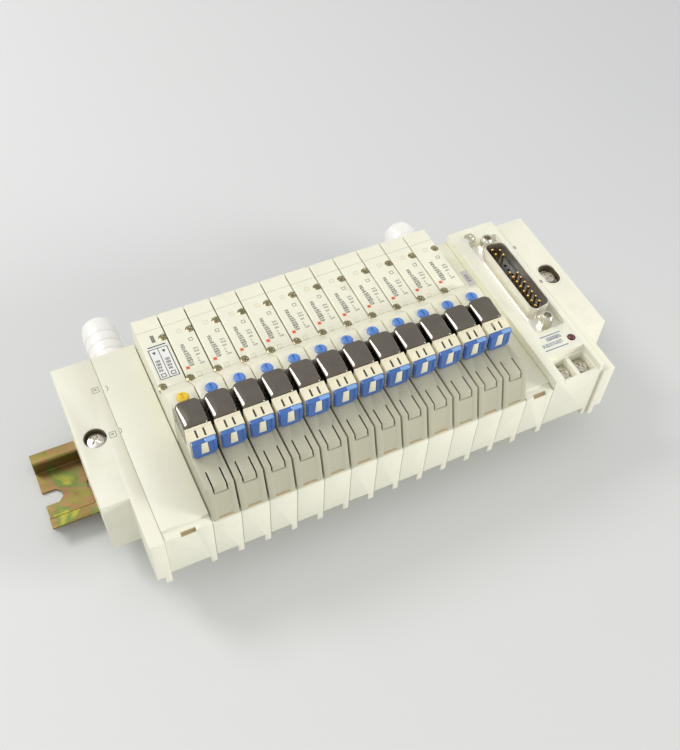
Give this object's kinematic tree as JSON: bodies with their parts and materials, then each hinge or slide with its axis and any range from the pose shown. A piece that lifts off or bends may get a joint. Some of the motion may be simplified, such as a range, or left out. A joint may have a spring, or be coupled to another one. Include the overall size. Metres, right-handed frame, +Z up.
{
  "type": "pneumatic valve island",
  "caption": "Rail-mounted pneumatic manifold with a row of plug-in solenoid valves, supply blocks at both ends and a multi-pin connector block.",
  "frame": {"origin": "middle of the rail's mounting face, on the rail's centre line", "axes": "+X along the rail towards the connector block, +Y towards the tube side, +Z up away from the rail"},
  "size_m": [0.2444, 0.1168, 0.0646],
  "materials": {
    "valve_cream": "smooth cream paint on die-cast metal",
    "pilot_cream": "fine matte moulded plastic",
    "base_cream": "fine matte moulded plastic",
    "can_metal": "dark brushed metal",
    "button_plastic": "smooth plastic",
    "plug_blue": "moulded plastic",
    "housing_cream": "moulded plastic",
    "cover_grey": "fine matte moulded plastic",
    "gasket_rubber": "matte rubber",
    "board_green": "coated circuit board",
    "screw_nickel": "nickel plated",
    "rail_chromate": "yellow chromate on zinc",
    "clamp_steel": "zinc plated",
    "shell_steel": "tin plated",
    "insulator_black": "matte moulded plastic",
    "pin_gold": "gold plated",
    "lamp_red": "clear red plastic",
    "plug_white": "matte white plastic",
    "fitting_grey": "moulded plastic"
  },
  "bodies": {
    "island": {"valve_body_01": "valve_cream", "valve_body_02": "valve_cream", "valve_body_03": "valve_cream", "valve_body_04": "valve_cream", "valve_body_05": "valve_cream", "valve_body_06": "valve_cream", "valve_body_07": "valve_cream", "valve_body_08": "valve_cream", "valve_body_09": "valve_cream", "valve_body_10": "valve_cream", "valve_body_11": "valve_cream", "valve_body_12": "valve_cream", "wiring_cover_01": "cover_grey", "wiring_cover_02": "cover_grey", "wiring_cover_03": "cover_grey", "wiring_cover_04": "cover_grey", "wiring_cover_05": "cover_grey", "wiring_cover_06": "cover_grey", "wiring_cover_07": "cover_grey", "wiring_cover_08": "cover_grey", "wiring_cover_09": "cover_grey", "wiring_cover_10": "cover_grey", "wiring_cover_11": "cover_grey", "wiring_cover_12": "cover_grey", "manifold_blocks": "base_cream", "tube_fittings": "fitting_grey", "pilot_bodies": "pilot_cream", "pilot_caps": "can_metal", "connector_housings": "housing_cream", "connector_plugs": "plug_blue", "valve_screws": "screw_nickel", "valve_gaskets": "gasket_rubber", "wiring_boards": "board_green", "din_rail": "rail_chromate", "left_end_block": "base_cream", "left_supply_block": "base_cream", "right_supply_block": "base_cream", "connector_block": "base_cream", "right_end_block": "base_cream", "clamp_screws": "clamp_steel", "rail_clamps": "clamp_steel", "dsub_shell": "shell_steel", "dsub_insulator": "insulator_black", "dsub_pins": "pin_gold", "dsub_standoffs": "clamp_steel", "terminal_screws": "clamp_steel", "indicator_lamp": "lamp_red", "port_plugs": "plug_white"},
    "override_button_01": {"override_button_01": "button_plastic"},
    "override_button_02": {"override_button_02": "button_plastic"},
    "override_button_03": {"override_button_03": "button_plastic"},
    "override_button_04": {"override_button_04": "button_plastic"},
    "override_button_05": {"override_button_05": "button_plastic"},
    "override_button_06": {"override_button_06": "button_plastic"},
    "override_button_07": {"override_button_07": "button_plastic"},
    "override_button_08": {"override_button_08": "button_plastic"},
    "override_button_09": {"override_button_09": "button_plastic"},
    "override_button_10": {"override_button_10": "button_plastic"},
    "override_button_11": {"override_button_11": "button_plastic"},
    "override_button_12": {"override_button_12": "button_plastic"}
  },
  "joints": [
    {"name": "override_press_01", "type": "slide", "parent": "island", "child": "override_button_01", "axis": [0, 0, -1], "range_m": [0, 0.001], "stiffness_N_per_m": 300},
    {"name": "override_press_02", "type": "slide", "parent": "island", "child": "override_button_02", "axis": [0, 0, -1], "range_m": [0, 0.001], "stiffness_N_per_m": 300},
    {"name": "override_press_03", "type": "slide", "parent": "island", "child": "override_button_03", "axis": [0, 0, -1], "range_m": [0, 0.001], "stiffness_N_per_m": 300},
    {"name": "override_press_04", "type": "slide", "parent": "island", "child": "override_button_04", "axis": [0, 0, -1], "range_m": [0, 0.001], "stiffness_N_per_m": 300},
    {"name": "override_press_05", "type": "slide", "parent": "island", "child": "override_button_05", "axis": [0, 0, -1], "range_m": [0, 0.001], "stiffness_N_per_m": 300},
    {"name": "override_press_06", "type": "slide", "parent": "island", "child": "override_button_06", "axis": [0, 0, -1], "range_m": [0, 0.001], "stiffness_N_per_m": 300},
    {"name": "override_press_07", "type": "slide", "parent": "island", "child": "override_button_07", "axis": [0, 0, -1], "range_m": [0, 0.001], "stiffness_N_per_m": 300},
    {"name": "override_press_08", "type": "slide", "parent": "island", "child": "override_button_08", "axis": [0, 0, -1], "range_m": [0, 0.001], "stiffness_N_per_m": 300},
    {"name": "override_press_09", "type": "slide", "parent": "island", "child": "override_button_09", "axis": [0, 0, -1], "range_m": [0, 0.001], "stiffness_N_per_m": 300},
    {"name": "override_press_10", "type": "slide", "parent": "island", "child": "override_button_10", "axis": [0, 0, -1], "range_m": [0, 0.001], "stiffness_N_per_m": 300},
    {"name": "override_press_11", "type": "slide", "parent": "island", "child": "override_button_11", "axis": [0, 0, -1], "range_m": [0, 0.001], "stiffness_N_per_m": 300},
    {"name": "override_press_12", "type": "slide", "parent": "island", "child": "override_button_12", "axis": [0, 0, -1], "range_m": [0, 0.001], "stiffness_N_per_m": 300}
  ]
}
